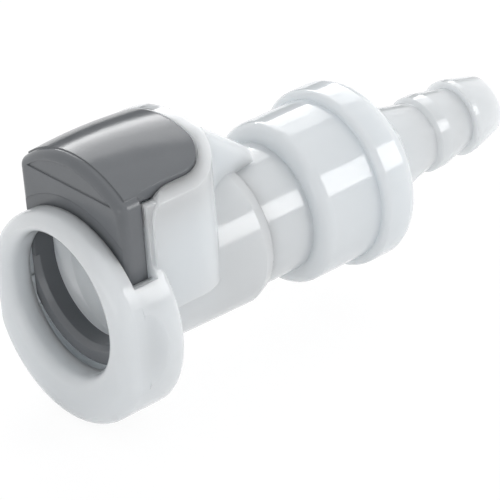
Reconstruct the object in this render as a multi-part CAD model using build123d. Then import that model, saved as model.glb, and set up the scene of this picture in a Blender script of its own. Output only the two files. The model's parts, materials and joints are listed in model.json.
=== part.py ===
from build123d import *
from math import sqrt
import os

# Valved quick disconnect coupling body with a thumb latch and a hose barb.
# Millimetres. +X is the flow direction, from the mouth to the hose barb.
# +Z points up through the thumb pad. The origin is the centre of the mouth,
# on the front face, and everything round is centred on the X axis.

# ---- fits and gaps ----
SLIDE_GAP = 0.30        # between the latch and the housing, all round
GUIDE_GAP = 0.05        # radial, poppet stem in its guide
SPIGOT_GAP = 0.05       # radial, barb end's spigot in the housing
TAB_GAP = 0.30          # housing's tab over the waist
SEAL_GAP = 0.10         # poppet seal off its seat at rest
SEAL_SQUEEZE = 0.05     # radial bite of a fitted O-ring

# ---- mouth and collar ----
MOUTH_R = 10.2          # bore that takes the insert
MOUTH_LEAD_R = 1.6      # rounded lead-in at the mouth
LIP_T = 3.8             # wall in front of the latch
LIP_FLAT = 0.9          # depth of the flat on each side of the lip
LIP_CORNER_R = 5.0      # where the flats meet the round
LIP_EDGE_R = 2.2
COLLAR_R = 15.0         # round collar behind the lip
COLLAR_Z = -2.3         # height of the collar's own centre
COLLAR_RIM = 1.8        # collar left behind the slot
COLLAR_EDGE_R = 1.0
COLLAR_LEAD_T = 3.0     # length over which the collar grows out of the lip's flats
SCOOP_R = 2.3           # hollow in the collar beside each end of the slot
SCOOP_OUT = 0.6
SCOOP_Z = 8.0

# ---- thumb latch ----
PLATE_T = 3.3
PLATE_HALF_W = 10.75
PLATE_EDGE_R = 1.3
PLATE_CORNER_R = 1.6
LATCH_CROWN = 20.4      # top of the latch at its front face
PLATE_BOW_R = 16.2      # bowed top of the plate
EYE_R = 9.4             # aperture of the latch plate
EYE_RIM = 3.0           # plate left below the aperture
EYE_CHAMFER = 0.9
EYE_HOOD = 1.6          # the aperture stays this far below the lip's outline
LATCH_TRAVEL = 2.3
PAD_HALF_W = 9.9
PAD_BACK = 20.0
PAD_CORNER_R = 5.0      # back corners, in plan
PAD_BOW_R = 17.0        # bow of the pad's top across
PAD_SPINE_R = 80.0      # and along
PAD_RISE = 0.4          # middle of the pad above the plate's top
PAD_FOOT = 16.0         # underside of the pad
PAD_WALL = 1.7
STOP_OUT = 0.6          # stops low on the plate's sides
STOP_H = 1.8
STOP_Z = -2.6
PANEL_Z = 16.3          # lower edge of the shallow panel on the latch front
PANEL_MARGIN = 1.3
PANEL_SINK = 0.2
STEP_R = 16.5           # step round the collar, on the latch front
STEP_SINK = 0.2

# ---- latch spring ----
LATCH_COIL_R = 2.6
LATCH_WIRE_R = 0.35
LATCH_TURNS = 5
POCKET_DEPTH = 1.7
SPRING_BACK = 6.0       # spring's axis, ahead of the pad's back
SPRING_PEG = 1.5        # peg under the pad that centres the spring

# ---- hump that guides the pad ----
HUMP_WALL = 1.7
HUMP_INNER_WALL = 1.25  # thinner wall beside the latch plate
HUMP_FRONT = 8.3
HUMP_CROWN = 20.3
HUMP_BOW_R = 18.0
HUMP_FLOOR = 13.1
HUMP_FRONT_R = 4.0
RAMP_ROOT = 3.7         # the ramp starts this far inside the hump's back
RAMP_ROOT_W = 9.4       # half width of the ramp there
RAMP_HALF_W = 6.2       # and where it leaves the hump
RAMP_FLARE = 0.4        # slope of the ramp's flanks at their root
RAMP_TOP_DROP = 0.6
TAB_HALF_W = 2.4
TAB_FLARE = 0.15        # slope of the tab's flanks at its end
TAB_TOP = 13.2
TAB_END_TOP = 11.2
TAB_OVER = 3.6          # how far the tab reaches over the waist
RAMP_EDGE_R = 1.6

# ---- barrel ----
BARREL_FRONT_R = 10.1
BARREL_BACK_R = 10.6
BARREL_BACK = 29.2
BARREL_TAPER = 1.9      # length of the rounded end
BARREL_END_R = 9.9
BARREL_EDGE_R = 0.5
INSERT_R = 8.5          # bore behind the latch
SEAT_FRONT = 16.9
SEAT_T = 2.2
SEAT_R = 5.1
CHAMBER_R = 8.4

# ---- barb end ----
WAIST_R = 9.35
WAIST_BACK = 36.7
BODY_R = 11.75
BODY_EDGE_R = 1.9
RING_FRONT = 47.0
RING_R = 13.0
RING_EDGE_R = 0.9
RING_BACK = 51.2
SHOULDER_BACK = 57.2
NECK_R = 6.5
SHANK_BACK = 64.2
SHANK_R = 4.95
BARB_R = 5.6
BARB_ROOT_R = 4.6
BARB_RISE = 0.6         # short slope in front of the inner barb
BARB_LAND = 0.9         # flat crest of the end barb; the inner one has two
BARB_2 = 71.6
TIP = 77.3
TIP_R = 4.45
HOSE_BORE_R = 3.3
SPIGOT_FRONT = 22.6
SPIGOT_BORE_R = 6.4
BODY_BORE_BACK = 45.4
GUIDE_FRONT = 30.4
GUIDE_T = 2.4
HUB_R = 3.2
ARM_T = 1.4
ARM_SINK = 0.5
JOINT_GROOVE_X = 26.0
JOINT_CORD_R = 0.75
GROOVE_PLAY = 0.25

# ---- poppet valve ----
NOSE_R = 4.4
NOSE_EDGE = 0.6
NOSE_LENGTH = 3.0       # nose in front of the seat
HEAD_R = 6.0
HEAD_T = 2.0
STEM_R = 2.0
STEM_PAST = 1.2         # stem showing behind its guide at rest
SEAL_CORD_R = 0.6
VALVE_COIL_R = 4.3
VALVE_WIRE_R = 0.4
VALVE_TURNS = 5
NOSE_CUP_R = 2.6
NOSE_CUP_DEPTH = 1.6

# ---- worked out ----
LIP_HALF_W = COLLAR_R - LIP_FLAT
PLATE_FRONT = LIP_T + SLIDE_GAP
PLATE_BACK = PLATE_FRONT + PLATE_T
SLOT_BACK = PLATE_BACK + SLIDE_GAP
COLLAR_BACK = SLOT_BACK + COLLAR_RIM
EYE_Z = LATCH_TRAVEL
PLATE_FOOT_R = EYE_R + EYE_RIM
HUMP_OUT = SLIDE_GAP + HUMP_WALL
HUMP_HALF_W = PAD_HALF_W + HUMP_OUT
HUMP_BACK = PAD_BACK + HUMP_OUT
HUMP_RIM_TOP = HUMP_CROWN - HUMP_BOW_R + sqrt(HUMP_BOW_R**2 - (PAD_HALF_W + SLIDE_GAP)**2)
SPRING_X = PAD_BACK - SPRING_BACK
POCKET_FLOOR = HUMP_FLOOR - POCKET_DEPTH
SEAT_BACK = SEAT_FRONT + SEAT_T
SEAL_X = SEAT_BACK + SEAL_GAP + SEAL_CORD_R
HEAD_FRONT = SEAL_X - SEAL_CORD_R / 2
HEAD_BACK = HEAD_FRONT + HEAD_T
SEAL_RING_R = (SEAT_R + HEAD_R) / 2
SPIGOT_R = CHAMBER_R - SPIGOT_GAP
GUIDE_BACK = GUIDE_FRONT + GUIDE_T
BARB_1 = SHANK_BACK + BARB_RISE
FAR = 100.0


def box(x0, x1, y0, y1, z0, z1):
    """Block between two corners."""
    size = (x1 - x0, y1 - y0, z1 - z0)
    middle = ((x0 + x1) / 2, (y0 + y1) / 2, (z0 + z1) / 2)
    return Pos(*middle) * Box(*size)


def rod(x0, x1, radius, z=0.0):
    """Round bar along X."""
    return Pos((x0 + x1) / 2, 0, z) * Rot(0, 90, 0) * Cylinder(radius, x1 - x0)


def post(z0, z1, radius, x=0.0):
    """Round bar along Z."""
    return Pos(x, 0, (z0 + z1) / 2) * Cylinder(radius, z1 - z0)


def turned(points):
    """Solid of revolution about X from (x, radius) points."""
    face = make_face(Polyline(*[(x, 0, r) for x, r in points], close=True))
    return revolve(face, Axis.X, 360)


def disc(z, radius):
    """Circle in the front view, at a height on the centre line."""
    return Pos(0, z) * Circle(radius)


def extrude_x(sketch, x0, x1):
    """Extrude a sketch drawn in the front view (Y across, Z up) along +X."""
    front = Plane(origin=(x0, 0, 0), x_dir=(0, 1, 0), z_dir=(1, 0, 0))
    return extrude(front * sketch, x1 - x0)


def extrude_z(sketch, z0, z1):
    """Extrude a sketch drawn in plan upwards."""
    return extrude(Pos(0, 0, z0) * sketch, z1 - z0)


def coil(x0, x1, ring_r, wire_r, turns):
    """Compression spring along X, as a sweep of a round wire."""
    length = x1 - x0 - 2 * wire_r
    path = Helix(pitch=length / turns, height=length, radius=ring_r)
    section = Plane(origin=path @ 0, z_dir=path % 0) * Circle(wire_r)
    spring = sweep(section, path=path, is_frenet=True)
    return Pos(x0 + wire_r, 0, 0) * Rot(0, 90, 0) * spring


def o_ring(x, ring_r, cord_r):
    """O-ring about the X axis."""
    return Pos(x, 0, 0) * Rot(0, 90, 0) * Torus(ring_r, cord_r)


def circle_edges(solid, x, radius):
    """The round edge of a turned solid at a given place and radius."""
    edges = solid.edges().filter_by(GeomType.CIRCLE)
    return [e for e in edges if abs(e.center().X - x) < 0.01 and abs(e.radius - radius) < 0.01]


def pad_plan(growth, x_front):
    """Plan of the pad, or of what goes round or inside it: a round-cornered back."""
    length = PAD_BACK + growth - x_front
    plan = Pos(x_front + length / 2, 0) * Rectangle(length, 2 * (PAD_HALF_W + growth))
    return fillet(plan.vertices().group_by(Axis.X)[-1], PAD_CORNER_R + growth)


def dome(inset=0.0):
    """The pad's bowed top, which also falls a little to its front and back."""
    half = PAD_BACK - PLATE_FRONT
    high = PAD_BOW_R - inset
    low = high - PAD_SPINE_R + sqrt(PAD_SPINE_R**2 - half**2)
    crest = ThreePointArc((-half, 0, low), (0, 0, high), (half, 0, low))
    rest = Polyline((half, 0, low), (half, 0, 0), (-half, 0, 0), (-half, 0, low))
    top = revolve(make_face([crest, rest]), Axis.X, 360)
    return Pos((PLATE_FRONT + PAD_BACK) / 2, 0, LATCH_CROWN + PAD_RISE - PAD_BOW_R) * top


def lip_outline():
    """Front view of the lip: round, with a flat on each side."""
    sides = Pos(0, COLLAR_Z) * Rectangle(2 * LIP_HALF_W, 3 * COLLAR_R)
    outline = disc(COLLAR_Z, COLLAR_R) & sides
    return fillet(outline.vertices(), LIP_CORNER_R)


def collar():
    """The lip in front of the latch and the round collar behind it."""
    lip = extrude_x(lip_outline(), 0, LIP_T)
    lip = fillet(lip.edges().group_by(Axis.X)[0], LIP_EDGE_R)
    ring = rod(LIP_T, COLLAR_BACK, COLLAR_R)
    ring = fillet(circle_edges(ring, COLLAR_BACK, COLLAR_R), COLLAR_EDGE_R)
    return lip + Pos(0, 0, COLLAR_Z) * ring - cheek(1) - cheek(-1)


def cheek(side):
    """What is hollowed from a side of the collar, from the lip's flat to full round."""
    start = (LIP_T, side * LIP_HALF_W)
    end = (LIP_T + COLLAR_LEAD_T, side * COLLAR_R)
    hollow = TangentArc(start, end, tangent=(1, 0))
    outside = Polyline(end, (end[0], 2 * end[1]), (start[0], 2 * end[1]), start)
    return extrude_z(make_face([hollow, outside]), -FAR, FAR)


def hump():
    """Guide for the pad: a round-backed wall with a bowed top."""
    block = extrude_z(pad_plan(HUMP_OUT, HUMP_FRONT), 0, HUMP_CROWN + 1)
    block = block & rod(0, FAR, HUMP_BOW_R, HUMP_CROWN - HUMP_BOW_R)
    arc_x = HUMP_FRONT + HUMP_FRONT_R
    arc_z = HUMP_RIM_TOP - HUMP_FRONT_R
    corner = box(0, arc_x, -FAR, FAR, arc_z, FAR)
    corner -= Pos(arc_x, 0, arc_z) * Rot(90, 0, 0) * Cylinder(HUMP_FRONT_R, 3 * FAR)
    inner_half = PAD_HALF_W + SLIDE_GAP + HUMP_INNER_WALL
    inner = box(SLOT_BACK, arc_x + 1, -inner_half, inner_half, 0, PAD_FOOT)
    return (block - corner) + inner


def ramp():
    """Wedge that falls from the hump to a tab over the waist."""
    root = HUMP_BACK - RAMP_ROOT
    top = HUMP_CROWN - RAMP_TOP_DROP
    end = BARREL_BACK + TAB_OVER
    side = Polyline((root, 0, 0), (root, 0, top), (HUMP_BACK, 0, top),
                    (BARREL_BACK + 1, 0, TAB_TOP), (end, 0, TAB_END_TOP), (end, 0, 0),
                    close=True)
    web = extrude(make_face(side), 2 * HUMP_HALF_W, both=True)
    flank = Spline((root, RAMP_ROOT_W), (HUMP_BACK, RAMP_HALF_W), (end, TAB_HALF_W),
                   tangents=((1, -RAMP_FLARE), (1, -TAB_FLARE)))
    plan = [flank, mirror(flank, Plane.XZ),
            Line((root, -RAMP_ROOT_W), (root, RAMP_ROOT_W)),
            Line((end, -TAB_HALF_W), (end, TAB_HALF_W))]
    wedge = web & extrude_z(make_face(plan), 0, FAR)
    ridge = [e for e in wedge.edges() if e.center().X > HUMP_BACK and abs(e.center().Y) > TAB_HALF_W / 2
             and e.center().Z > TAB_END_TOP - 0.5]
    bow = rod(0, FAR, HUMP_BOW_R, top - HUMP_BOW_R)
    return fillet(ridge, RAMP_EDGE_R) & bow


def barrel():
    """Turned barrel with a rounded back end."""
    outer = turned([(LIP_T, 0), (LIP_T, BARREL_FRONT_R), (BARREL_BACK - BARREL_TAPER, BARREL_BACK_R),
                    (BARREL_BACK, BARREL_END_R), (BARREL_BACK, 0)])
    return fillet(circle_edges(outer, BARREL_BACK, BARREL_END_R), BARREL_EDGE_R)


def latch_slot():
    """Way for the latch plate, open at the top, with room for its travel."""
    way = plate_outline(SLIDE_GAP) + stops(SLIDE_GAP)
    way = way + Pos(0, -LATCH_TRAVEL) * way
    for side in (-1, 1):
        way += Pos(side * (PLATE_HALF_W + SCOOP_OUT), SCOOP_Z) * Circle(SCOOP_R)
    return extrude_x(way, LIP_T, SLOT_BACK)


def main_housing():
    """One moulding: collar, barrel, hump and ramp, with the slot and bore."""
    body = collar() + barrel() + hump() + ramp()
    body -= rod(BARREL_BACK, FAR, WAIST_R + TAB_GAP)
    body -= extrude_z(pad_plan(SLIDE_GAP, 0), HUMP_FLOOR, FAR)
    body -= latch_slot()
    pocket_r = LATCH_COIL_R + LATCH_WIRE_R + SLIDE_GAP
    body -= post(POCKET_FLOOR, HUMP_FLOOR + 1, pocket_r, SPRING_X)
    lead = rod(-1, MOUTH_LEAD_R, MOUTH_R + MOUTH_LEAD_R)
    lead -= o_ring(MOUTH_LEAD_R, MOUTH_R + MOUTH_LEAD_R, MOUTH_LEAD_R)
    body -= lead
    body -= turned([(-1, 0), (-1, MOUTH_R), (SLOT_BACK, MOUTH_R),
                    (SLOT_BACK + MOUTH_R - INSERT_R, INSERT_R), (SEAT_FRONT, INSERT_R),
                    (SEAT_FRONT, SEAT_R), (SEAT_BACK, SEAT_R), (SEAT_BACK, CHAMBER_R),
                    (FAR, CHAMBER_R), (FAR, 0)])
    return body


def plate_outline(gap=0.0):
    """Front view of the latch plate: round foot, straight sides, bowed top."""
    strip = Rectangle(2 * (PLATE_HALF_W + gap), 2 * FAR)
    upper = disc(LATCH_CROWN - PLATE_BOW_R, PLATE_BOW_R + gap) & Pos(0, EYE_Z + FAR) * strip
    upper = fillet(upper.vertices().group_by(Axis.Y)[-1], PLATE_CORNER_R)
    return upper + (disc(EYE_Z, PLATE_FOOT_R + gap) & strip)


def stops(gap=0.0):
    """Front view of the stops low on the plate's sides, which hold it in."""
    half = PLATE_HALF_W + STOP_OUT + gap
    return Pos(0, STOP_Z) * Rectangle(2 * half, STOP_H + 2 * gap)


def latch_plate():
    """Plate that crosses the bore, with its rounded front edge and panel."""
    plate = extrude_x(plate_outline(), PLATE_FRONT, PLATE_BACK)
    plate = fillet(plate.edges().group_by(Axis.X)[0], PLATE_EDGE_R)
    plate += extrude_x(stops(), PLATE_FRONT + PLATE_EDGE_R, PLATE_BACK)
    inside = Rectangle(2 * (PLATE_HALF_W - PANEL_MARGIN), 2 * FAR)
    field = disc(LATCH_CROWN - PLATE_BOW_R, PLATE_BOW_R - PANEL_MARGIN) & inside
    plate -= extrude_x(field & Pos(0, PANEL_Z + FAR) * inside, 0, PLATE_FRONT + PANEL_SINK)
    return plate - rod(0, PLATE_FRONT + STEP_SINK, STEP_R, COLLAR_Z)


def latch_eye():
    """Aperture of the plate: half round below, straight sided above."""
    eye = rod(PLATE_FRONT - 1, PLATE_BACK + 1, EYE_R, EYE_Z)
    eye += box(PLATE_FRONT - 1, PLATE_BACK + 1, -EYE_R, EYE_R, EYE_Z, FAR)
    eye = eye & rod(0, FAR, COLLAR_R - EYE_HOOD, COLLAR_Z)
    mouth = turned([(PLATE_FRONT - 1, 0), (PLATE_FRONT - 1, EYE_R + EYE_CHAMFER),
                    (PLATE_FRONT, EYE_R + EYE_CHAMFER), (PLATE_FRONT + EYE_CHAMFER, EYE_R),
                    (PLATE_FRONT + EYE_CHAMFER, 0)])
    return eye + (Pos(0, 0, EYE_Z) * mouth & box(0, FAR, -FAR, FAR, -FAR, EYE_Z))


def thumb_pad():
    """Hollow domed pad behind the plate, with the seat of its spring."""
    pad = extrude_z(pad_plan(0, PLATE_FRONT + PLATE_EDGE_R), PAD_FOOT, FAR) & dome()
    inner = extrude_z(pad_plan(-PAD_WALL, PLATE_BACK), PAD_FOOT - 1, FAR)
    pad -= inner & dome(PAD_WALL)
    peg = post(spring_ceiling(), LATCH_CROWN, LATCH_COIL_R, SPRING_X)
    peg += post(spring_ceiling() - SPRING_PEG, LATCH_CROWN, LATCH_COIL_R - 2 * LATCH_WIRE_R, SPRING_X)
    return pad + peg


def spring_ceiling():
    """Height of the seat under the pad that the latch spring pushes on."""
    return LATCH_CROWN - PAD_WALL


def thumb_latch():
    """One moulding: the plate with its aperture, and the domed thumb pad."""
    return latch_plate() - latch_eye() + thumb_pad()


def latch_spring():
    """Spring between the housing's pocket and the pad."""
    spring = coil(POCKET_FLOOR, spring_ceiling(), LATCH_COIL_R, LATCH_WIRE_R, LATCH_TURNS)
    return Pos(SPRING_X, 0, 0) * Rot(0, -90, 0) * spring


def shoulder():
    """Rounded back of the grip ring, falling to the neck of the tail."""
    middle_x = (RING_BACK + SHOULDER_BACK) / 2
    middle_r = (RING_R + NECK_R) / 2 + 0.35
    profile = Spline((RING_BACK, 0, RING_R), (middle_x, 0, middle_r), (SHOULDER_BACK, 0, NECK_R),
                     tangents=((1, 0, -0.25), (0.6, 0, -1)))
    closing = Polyline((SHOULDER_BACK, 0, NECK_R), (SHOULDER_BACK, 0, 0),
                       (RING_BACK, 0, 0), (RING_BACK, 0, RING_R))
    return revolve(make_face([profile, closing]), Axis.X, 360)


def hose_barb_end():
    """Spigot, waist, grip body and barbed tail, with a bore right through."""
    grip = turned([(WAIST_BACK, 0), (WAIST_BACK, BODY_R), (RING_FRONT + 1, BODY_R),
                   (RING_FRONT + 1, 0)])
    grip = fillet(circle_edges(grip, WAIST_BACK, BODY_R), BODY_EDGE_R)
    ring = rod(RING_FRONT, RING_BACK, RING_R)
    ring = fillet(circle_edges(ring, RING_FRONT, RING_R), RING_EDGE_R)
    spigot = rod(SPIGOT_FRONT, BARREL_BACK + 1, SPIGOT_R)
    waist = rod(BARREL_BACK, WAIST_BACK + 1, WAIST_R)
    tail = turned([
        (SHOULDER_BACK - 1, 0), (SHOULDER_BACK - 1, NECK_R), (SHOULDER_BACK, NECK_R),
        (SHANK_BACK, SHANK_R), (BARB_1, BARB_R), (BARB_1 + 2 * BARB_LAND, BARB_R),
        (BARB_2, BARB_ROOT_R), (BARB_2, BARB_R), (BARB_2 + BARB_LAND, BARB_R),
        (TIP, TIP_R), (TIP, 0)])
    flow = turned([
        (SPIGOT_FRONT - 1, 0), (SPIGOT_FRONT - 1, SPIGOT_BORE_R),
        (BODY_BORE_BACK, SPIGOT_BORE_R), (RING_BACK, HOSE_BORE_R), (TIP + 1, HOSE_BORE_R),
        (TIP + 1, 0)])
    half = JOINT_CORD_R + GROOVE_PLAY / 2
    floor = CHAMBER_R + SEAL_SQUEEZE - 2 * JOINT_CORD_R
    groove = rod(JOINT_GROOVE_X - half, JOINT_GROOVE_X + half, CHAMBER_R + 1)
    groove -= rod(JOINT_GROOVE_X - half, JOINT_GROOVE_X + half, floor)
    return spigot + waist + grip + ring + shoulder() + tail - flow - groove + stem_guide()


def stem_guide():
    """Hub on three arms inside the barb end, bored for the poppet stem."""
    guide = rod(GUIDE_FRONT, GUIDE_BACK, HUB_R)
    arm = box(GUIDE_FRONT, GUIDE_BACK, -ARM_T / 2, ARM_T / 2, 0, SPIGOT_BORE_R + ARM_SINK)
    for turn in (0, 120, 240):
        guide += Rot(turn, 0, 0) * arm
    return guide - rod(GUIDE_FRONT - 1, GUIDE_BACK + 1, STEM_R + GUIDE_GAP)


def valve_poppet():
    """Nose that the insert pushes, sealing head and guided stem."""
    front = SEAT_FRONT - NOSE_LENGTH
    poppet = turned([
        (front, 0), (front, NOSE_R - NOSE_EDGE), (front + NOSE_EDGE, NOSE_R),
        (HEAD_FRONT, NOSE_R), (HEAD_FRONT, HEAD_R), (HEAD_BACK, HEAD_R),
        (HEAD_BACK, STEM_R), (GUIDE_BACK + STEM_PAST, STEM_R), (GUIDE_BACK + STEM_PAST, 0)])
    poppet -= rod(front - 1, front + NOSE_CUP_DEPTH, NOSE_CUP_R)
    return poppet - o_ring(SEAL_X, SEAL_RING_R, SEAL_CORD_R)


def poppet_seal():
    return o_ring(SEAL_X, SEAL_RING_R, SEAL_CORD_R)


def valve_spring():
    return coil(HEAD_BACK, GUIDE_FRONT, VALVE_COIL_R, VALVE_WIRE_R, VALVE_TURNS)


def joint_seal():
    return o_ring(JOINT_GROOVE_X, CHAMBER_R + SEAL_SQUEEZE - JOINT_CORD_R, JOINT_CORD_R)


PARTS = {
    "main_housing": main_housing,
    "thumb_latch": thumb_latch,
    "latch_spring": latch_spring,
    "hose_barb_end": hose_barb_end,
    "joint_seal": joint_seal,
    "valve_poppet": valve_poppet,
    "poppet_seal": poppet_seal,
    "valve_spring": valve_spring,
}

os.makedirs("parts", exist_ok=True)
for name, make in PARTS.items():
    export_step(make(), f"parts/{name}.step")
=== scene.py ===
import json
import math

import bpy
from mathutils import Matrix, Vector


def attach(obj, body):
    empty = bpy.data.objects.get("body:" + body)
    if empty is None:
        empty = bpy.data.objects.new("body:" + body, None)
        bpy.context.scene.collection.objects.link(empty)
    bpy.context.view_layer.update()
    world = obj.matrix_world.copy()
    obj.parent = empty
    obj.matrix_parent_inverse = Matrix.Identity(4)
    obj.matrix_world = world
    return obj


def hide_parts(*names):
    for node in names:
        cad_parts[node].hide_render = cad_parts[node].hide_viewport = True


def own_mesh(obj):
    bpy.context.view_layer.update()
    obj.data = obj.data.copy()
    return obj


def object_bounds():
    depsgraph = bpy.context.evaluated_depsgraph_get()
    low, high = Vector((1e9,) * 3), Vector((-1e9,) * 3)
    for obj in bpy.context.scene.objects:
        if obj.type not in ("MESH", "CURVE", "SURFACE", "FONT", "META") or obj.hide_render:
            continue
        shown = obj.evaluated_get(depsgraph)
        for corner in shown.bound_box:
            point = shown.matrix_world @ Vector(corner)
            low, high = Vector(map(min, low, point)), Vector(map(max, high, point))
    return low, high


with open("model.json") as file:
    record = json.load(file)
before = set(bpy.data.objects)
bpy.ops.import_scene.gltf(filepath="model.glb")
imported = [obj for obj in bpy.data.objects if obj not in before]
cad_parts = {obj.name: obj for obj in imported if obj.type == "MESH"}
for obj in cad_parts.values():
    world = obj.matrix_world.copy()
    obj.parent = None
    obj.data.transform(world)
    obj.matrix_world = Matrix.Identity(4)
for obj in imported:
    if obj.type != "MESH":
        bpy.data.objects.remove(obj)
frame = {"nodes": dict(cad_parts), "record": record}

cad_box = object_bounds()
MM = 0.001


# ---- shader graphs as expressions ----
# sockets by number, where names repeat on a node
MATH_A, MATH_B = 0, 1
MIX_FACTOR, MIX_A, MIX_B, MIX_COLOUR = 0, 6, 7, 2
BLEND_FACTOR, BLEND_FROM, BLEND_TO = 0, 1, 2
EDGE_SAMPLES = 6


class Wire:
    """An output socket that takes part in sums and products."""

    def __init__(self, graph, socket):
        self.graph = graph
        self.socket = socket

    def _math(self, operation, other):
        return self.graph.node("ShaderNodeMath", {"operation": operation},
                               {MATH_A: self, MATH_B: other})

    def __add__(self, other):
        return self._math("ADD", other)

    def __mul__(self, other):
        return self._math("MULTIPLY", other)

    __radd__ = __add__
    __rmul__ = __mul__


class Graph:
    """The node tree of a material or of the world."""

    def __init__(self, owner):
        owner.use_nodes = True
        self.tree = owner.node_tree
        self.tree.nodes.clear()

    def node(self, kind, settings=None, inputs=None, output=0):
        """Add a node, make its settings, then fill its sockets with values or links."""
        made = self.tree.nodes.new(kind)
        for name, value in (settings or {}).items():
            setattr(made, name, value)
        for name, value in (inputs or {}).items():
            if isinstance(value, Wire):
                self.tree.links.new(value.socket, made.inputs[name])
            else:
                made.inputs[name].default_value = value
        return Wire(self, made.outputs[output]) if made.outputs else None

    def place(self):
        """Where a point lies on its part, in metres, the same at every pose."""
        return self.node("ShaderNodeTexCoord", output="Object")

    def noise(self, place, per_metre, detail=2.0, roughness=0.5):
        """Smooth noise from 0 to 1."""
        return self.node("ShaderNodeTexNoise", {"noise_dimensions": "3D"},
                         {"Vector": place, "Scale": per_metre, "Detail": detail,
                          "Roughness": roughness})

    def between(self, factor, a, b):
        """Blend of two colours."""
        return self.node("ShaderNodeMix", {"data_type": "RGBA"},
                         {MIX_FACTOR: factor, MIX_A: (*a, 1.0), MIX_B: (*b, 1.0)},
                         output=MIX_COLOUR)

    def relief(self, height, depth, below=None):
        """Bump of a height from 0 to 1, over the normal below it if there is one."""
        inputs = {"Height": height, "Distance": depth, "Strength": 1.0}
        if below is not None:
            inputs["Normal"] = below
        return self.node("ShaderNodeBump", {}, inputs)

    def soft_edges(self, radius):
        """Normal that rounds every sharp edge, as a mould does."""
        return self.node("ShaderNodeBevel", {"samples": EDGE_SAMPLES}, {"Radius": radius})

    def seen(self):
        """1 where the camera, a gloss or a clear surface looks, 0 for plain light."""
        camera_ray = self.node("ShaderNodeLightPath", output="Is Camera Ray")
        glossy_ray = self.node("ShaderNodeLightPath", output="Is Glossy Ray")
        clear_ray = self.node("ShaderNodeLightPath", output="Is Transmission Ray")
        return self.node("ShaderNodeMath", {"operation": "ADD", "use_clamp": True},
                         {MATH_A: camera_ray + glossy_ray, MATH_B: clear_ray})

    def blend(self, factor, shader, other):
        """Mix of two shaders."""
        return self.node("ShaderNodeMixShader", {},
                         {BLEND_FACTOR: factor, BLEND_FROM: shader, BLEND_TO: other})

    def matt(self, colour):
        """Plain diffuse shader."""
        return self.node("ShaderNodeBsdfDiffuse", {}, {"Color": (*colour, 1.0)})

    def finish(self, shader):
        """Make the shader the material's surface."""
        self.node("ShaderNodeOutputMaterial", {}, {"Surface": shader})

    def surface(self, sockets):
        """Make a principled shader with these sockets the material's surface."""
        self.finish(self.node("ShaderNodeBsdfPrincipled", {}, sockets))


# ---- finishes ----
NATURAL_PALE = (0.77, 0.797, 0.815)
NATURAL_DENSE = (0.725, 0.757, 0.780)
VALVE_PALE = (0.72, 0.73, 0.72)
VALVE_DENSE = (0.66, 0.67, 0.66)
GREY_DARK = (0.142, 0.150, 0.160)
GREY_LIGHT = (0.176, 0.184, 0.195)
WIRE_DARK = (0.52, 0.53, 0.54)
WIRE_LIGHT = (0.66, 0.67, 0.68)
RUBBER_DARK = (0.018, 0.018, 0.019)
RUBBER_DUSTY = (0.05, 0.05, 0.052)

NATURAL_EDGE = 0.22 * MM
GREY_EDGE = 0.25 * MM
HOUSING_MILKINESS = 1.0
VALVE_MILKINESS = 0.1
MILK_REACH = 7.0 * MM
MILK_SPREAD = (1.0, 1.0, 1.0)       # every colour reaches as far


def natural_plastic(name, pale, dense, milkiness):
    """Unpigmented moulded plastic: milky, glossy, with faint flow clouds."""
    material = bpy.data.materials.new(name)
    g = Graph(material)
    at = g.place()
    cloud = g.noise(at, per_metre=90.0, detail=3.0, roughness=0.55)
    fine = g.noise(at, per_metre=900.0)
    wave = g.noise(at, per_metre=160.0)
    rub = g.noise(at, per_metre=420.0, detail=3.0, roughness=0.6)
    grain = g.noise(at, per_metre=5200.0, detail=3.0, roughness=0.6)
    waved = g.relief(wave, depth=0.035 * MM, below=g.soft_edges(NATURAL_EDGE))
    g.surface({
        "Base Color": g.between(cloud * 0.8 + fine * 0.2, pale, dense),
        "Roughness": 0.06 + 0.05 * rub,
        "Normal": g.relief(grain, depth=0.0025 * MM, below=waved),
        "Subsurface Weight": milkiness,
        "Subsurface Radius": MILK_SPREAD,
        "Subsurface Scale": MILK_REACH,
        "IOR": 1.49,
    })
    return material


def grey_plastic():
    """Pigmented grey moulding with a satin skin."""
    material = bpy.data.materials.new("grey_moulding")
    g = Graph(material)
    at = g.place()
    swirl = g.noise(at, per_metre=220.0, detail=3.0, roughness=0.55)
    wave = g.noise(at, per_metre=240.0)
    rub = g.noise(at, per_metre=600.0, detail=3.0, roughness=0.6)
    speck = g.noise(at, per_metre=3800.0, roughness=0.6)
    waved = g.relief(wave, depth=0.03 * MM, below=g.soft_edges(GREY_EDGE))
    g.surface({
        "Base Color": g.between(swirl * 0.7 + speck * 0.3, GREY_DARK, GREY_LIGHT),
        "Roughness": 0.13 + 0.08 * rub,
        "Normal": g.relief(speck, depth=0.004 * MM, below=waved),
        "IOR": 1.5,
        "Specular IOR Level": 0.38,
    })
    return material


def spring_steel():
    """Drawn stainless wire."""
    material = bpy.data.materials.new("drawn_wire")
    g = Graph(material)
    streak = g.noise(g.place(), per_metre=1500.0, detail=4.0, roughness=0.6)
    g.surface({
        "Base Color": g.between(streak, WIRE_DARK, WIRE_LIGHT),
        "Metallic": 1.0,
        "Roughness": 0.2 + 0.18 * streak,
        "Normal": g.relief(streak, depth=0.006 * MM),
    })
    return material


def seal_rubber():
    """Dark moulded rubber with a dusty bloom."""
    material = bpy.data.materials.new("seal_rubber")
    g = Graph(material)
    at = g.place()
    bloom = g.noise(at, per_metre=700.0, detail=4.0, roughness=0.6)
    grain = g.noise(at, per_metre=4000.0, detail=3.0, roughness=0.6)
    g.surface({
        "Base Color": g.between(bloom, RUBBER_DARK, RUBBER_DUSTY),
        "Roughness": 0.5 + 0.2 * bloom,
        "Normal": g.relief(grain, depth=0.008 * MM),
    })
    return material


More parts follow.
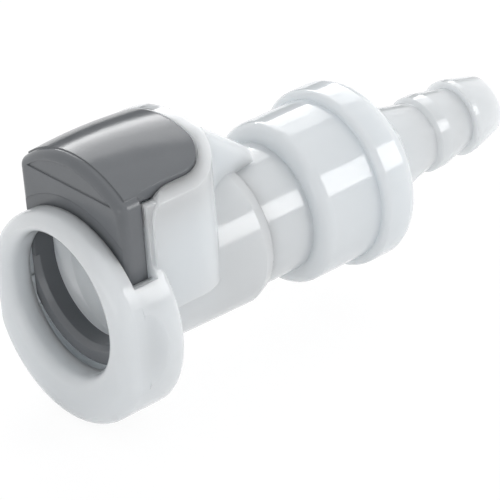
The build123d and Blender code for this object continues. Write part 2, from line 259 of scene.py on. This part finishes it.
# ---- coils ----
WIRE_SIDES = 14
STEPS_PER_TURN = 40
OPEN_TURNS = 4
CLOSED_TURNS = 2                    # one at each end

LATCH_SPRING_FOOT = (14.0 * MM, 0, 11.4 * MM)
LATCH_SPRING_HEAD = (14.0 * MM, 0, 18.7 * MM)
LATCH_SPRING_R = 2.6 * MM
LATCH_WIRE_R = 0.35 * MM

VALVE_SPRING_FRONT = (21.5 * MM, 0, 0)
VALVE_SPRING_BACK = (30.4 * MM, 0, 0)
VALVE_SPRING_R = 4.3 * MM
VALVE_WIRE_R = 0.4 * MM


def put(name, data):
    """Add an object to the scene."""
    made = bpy.data.objects.new(name, data)
    bpy.context.scene.collection.objects.link(made)
    return made


def coil_path(length, ring_r, wire_r):
    """Centre line of a spring along +X from the origin, with a closed turn at each end."""
    turns = OPEN_TURNS + CLOSED_TURNS
    open_run = length - 2 * wire_r - CLOSED_TURNS * 2 * wire_r
    last = turns * STEPS_PER_TURN
    path = []
    for i in range(last + 1):
        turn = turns * i / last
        closed = min(turn, 1.0) + max(turn - turns + 1.0, 0.0)
        opened = min(max(turn - 1.0, 0.0), OPEN_TURNS)
        x = wire_r + closed * 2 * wire_r + opened / OPEN_TURNS * open_run
        angle = turn * math.tau
        path.append(Vector((x, ring_r * math.cos(angle), ring_r * math.sin(angle))))
    return path


def wire_mesh(name, path, wire_r):
    """Round wire along a path that coils about the X axis, capped at both ends."""
    last = len(path) - 1
    points = []
    for i, centre in enumerate(path):
        ahead = (path[min(i + 1, last)] - path[max(i - 1, 0)]).normalized()
        outward = Vector((0, centre.y, centre.z)).normalized()
        across = ahead.cross(outward).normalized()
        outward = across.cross(ahead)
        for k in range(WIRE_SIDES):
            turn = math.tau * k / WIRE_SIDES
            rim = outward * math.cos(turn) + across * math.sin(turn)
            points.append(centre + wire_r * rim)
    faces = []
    for i in range(last):
        for k in range(WIRE_SIDES):
            a = i * WIRE_SIDES + k
            b = i * WIRE_SIDES + (k + 1) % WIRE_SIDES
            faces.append((a, b, b + WIRE_SIDES, a + WIRE_SIDES))
    faces.append(tuple(range(WIRE_SIDES))[::-1])
    faces.append(tuple(range(last * WIRE_SIDES, (last + 1) * WIRE_SIDES)))
    mesh = bpy.data.meshes.new(name)
    mesh.from_pydata(points, [], faces)
    mesh.update()
    mesh.polygons.foreach_set("use_smooth", [True] * len(mesh.polygons))
    return mesh


def fit_coil(name, node, body, start, end, ring_r, wire_r):
    """A spring between two seats, in place of its CAD node, that moves with its body."""
    run = Vector(end) - Vector(start)
    piece = put(name, wire_mesh(name, coil_path(run.length, ring_r, wire_r), wire_r))
    turn = Vector((1, 0, 0)).rotation_difference(run.normalized()).to_matrix()
    piece.data.transform(Matrix.Translation(Vector(start)) @ turn.to_4x4())
    piece.data.materials.append(STEEL)
    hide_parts(node)
    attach(piece, body)
    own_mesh(piece)


# ---- dress the parts ----
WHITE = natural_plastic("natural_moulding", NATURAL_PALE, NATURAL_DENSE, HOUSING_MILKINESS)
VALVE = natural_plastic("valve_moulding", VALVE_PALE, VALVE_DENSE, VALVE_MILKINESS)
GREY = grey_plastic()
STEEL = spring_steel()
RUBBER = seal_rubber()
FINISH = {
    "natural_white_plastic": WHITE,
    "grey_plastic": GREY,
    "spring_steel": STEEL,
    "seal_rubber": RUBBER,
    "valve_plastic": VALVE,
}
for part in frame["record"]["subparts"]:
    node = frame["nodes"][part["node"]]
    node.data.materials.clear()
    node.data.materials.append(FINISH[part["material_slot"]])

fit_coil("latch_coil", "latch_spring", "latch",
         LATCH_SPRING_FOOT, LATCH_SPRING_HEAD, LATCH_SPRING_R, LATCH_WIRE_R)
fit_coil("valve_coil", "valve_spring", "poppet",
         VALVE_SPRING_FRONT, VALVE_SPRING_BACK, VALVE_SPRING_R, VALVE_WIRE_R)


# ---- stage ----
AIM = Vector((33.0, -0.08, -5.26)) * MM

CAMERA_AZIMUTH = -38.91
CAMERA_ELEVATION = 29.43
CAMERA_ROLL = -4.38
CAMERA_DISTANCE = 0.4
CAMERA_LENS = 211.03
CAMERA_SENSOR = 36.0
CAMERA_NEAR, CAMERA_FAR = 0.02, 20.0

# name, azimuth, elevation, distance, width, height, radiance
LAMPS = (
    ("key_box", 39.0, 21.5, 0.6, 0.20, 0.245, 6.0),
    ("rear_low_box", 143.0, 23.5, 0.7, 0.40, 0.115, 5.2),
    ("rear_middle_box", 141.0, 33.0, 0.7, 0.40, 0.115, 2.9),
    ("rear_high_box", 137.0, 45.0, 0.7, 0.50, 0.16, 2.2),
    ("top_box", 60.0, 80.0, 0.8, 0.70, 0.70, 0.3),
    ("front_fill", -75.0, 4.0, 0.7, 0.50, 0.40, 1.1),
)

PURE_WHITE = (1.0, 1.0, 1.0, 1.0)
CARD_BLACK = (0.02, 0.02, 0.02)
FLOOR_COLOUR = (0.86, 0.86, 0.86)
FLOOR_GLOW = 1.06
FLOOR_GLOW_SHARE = 0.86             # the rest of the floor takes the shadows
FLOOR_SIZE = 6.0
FLOOR_GAP = 0.05 * MM
SKY_COLOUR = (0.97, 0.985, 1.0, 1.0)
SKY_LEVEL = 0.62


def heading(azimuth, elevation):
    """Unit vector at an azimuth from -Y towards +X and an elevation, in degrees."""
    a, e = math.radians(azimuth), math.radians(elevation)
    return Vector((math.sin(a) * math.cos(e), -math.cos(a) * math.cos(e), math.sin(e)))


def face_to_aim(thing, azimuth, elevation, distance):
    """Stand a lamp or card about the coupling, turned to it."""
    away = heading(azimuth, elevation)
    thing.location = AIM + away * distance
    thing.rotation_mode = "QUATERNION"
    thing.rotation_quaternion = away.to_track_quat("Z", "Y")


def lamp(name, azimuth, elevation, distance, width, height, radiance):
    """Soft box that faces the coupling and that the camera doesn't see."""
    data = bpy.data.lights.new(name, "AREA")
    data.shape = "RECTANGLE"
    data.size, data.size_y = width, height
    data.energy = radiance * math.pi * width * height
    lit = put(name, data)
    lit.visible_camera = False
    face_to_aim(lit, azimuth, elevation, distance)


def rectangle(name, width, height, level, material):
    """Flat sheet across the Z axis."""
    x, y = width / 2, height / 2
    mesh = bpy.data.meshes.new(name)
    mesh.from_pydata([(-x, -y, level), (x, -y, level), (x, y, level), (-x, y, level)],
                     [], [(0, 1, 2, 3)])
    mesh.materials.append(material)
    return put(name, mesh)


def flag(name, azimuth, elevation, distance, width, height):
    """Black card that only shows in glossy surfaces."""
    material = bpy.data.materials.new("black_card")
    g = Graph(material)
    g.finish(g.matt(CARD_BLACK))
    card = rectangle(name, width, height, 0.0, material)
    face_to_aim(card, azimuth, elevation, distance)
    for ray in ("camera", "diffuse", "transmission", "shadow"):
        setattr(card, "visible_" + ray, False)


def floor():
    """Wide pale floor just under the collar, near white where it is seen."""
    material = bpy.data.materials.new("floor_paper")
    g = Graph(material)
    glow = g.node("ShaderNodeEmission", {}, {"Color": PURE_WHITE, "Strength": FLOOR_GLOW})
    g.finish(g.blend(g.seen() * FLOOR_GLOW_SHARE, g.matt(FLOOR_COLOUR), glow))
    level = cad_box[0][2] - FLOOR_GAP
    rectangle("floor", FLOOR_SIZE, FLOOR_SIZE, level, material)


def sky():
    """Even pale surroundings, white where they are seen."""
    world = bpy.data.worlds.new("surroundings")
    bpy.context.scene.world = world
    g = Graph(world)
    even = g.node("ShaderNodeBackground", {}, {"Color": SKY_COLOUR, "Strength": SKY_LEVEL})
    white = g.node("ShaderNodeBackground", {}, {"Color": PURE_WHITE, "Strength": 1.0})
    g.node("ShaderNodeOutputWorld", {}, {"Surface": g.blend(g.seen(), even, white)})


def camera():
    """Long lens in front of the mouth, above it and on its -Y side."""
    back = heading(CAMERA_AZIMUTH, CAMERA_ELEVATION)
    roll = math.radians(CAMERA_ROLL)
    level = (-back).cross(Vector((0, 0, 1))).normalized()
    upright = level.cross(-back)
    x_axis = level * math.cos(roll) + upright * math.sin(roll)
    y_axis = upright * math.cos(roll) - level * math.sin(roll)
    data = bpy.data.cameras.new("camera")
    data.sensor_width = CAMERA_SENSOR
    data.lens = CAMERA_LENS
    data.clip_start, data.clip_end = CAMERA_NEAR, CAMERA_FAR
    seat = put("camera", data)
    turn = Matrix((x_axis, y_axis, back)).transposed().to_4x4()
    seat.matrix_world = Matrix.Translation(AIM + back * CAMERA_DISTANCE) @ turn
    bpy.context.scene.camera = seat


for row in LAMPS:
    lamp(*row)
flag("rear_flag", azimuth=143.0, elevation=8.0, distance=0.68, width=0.60, height=0.21)
floor()
sky()
camera()
bpy.context.scene.view_settings.view_transform = "Standard"
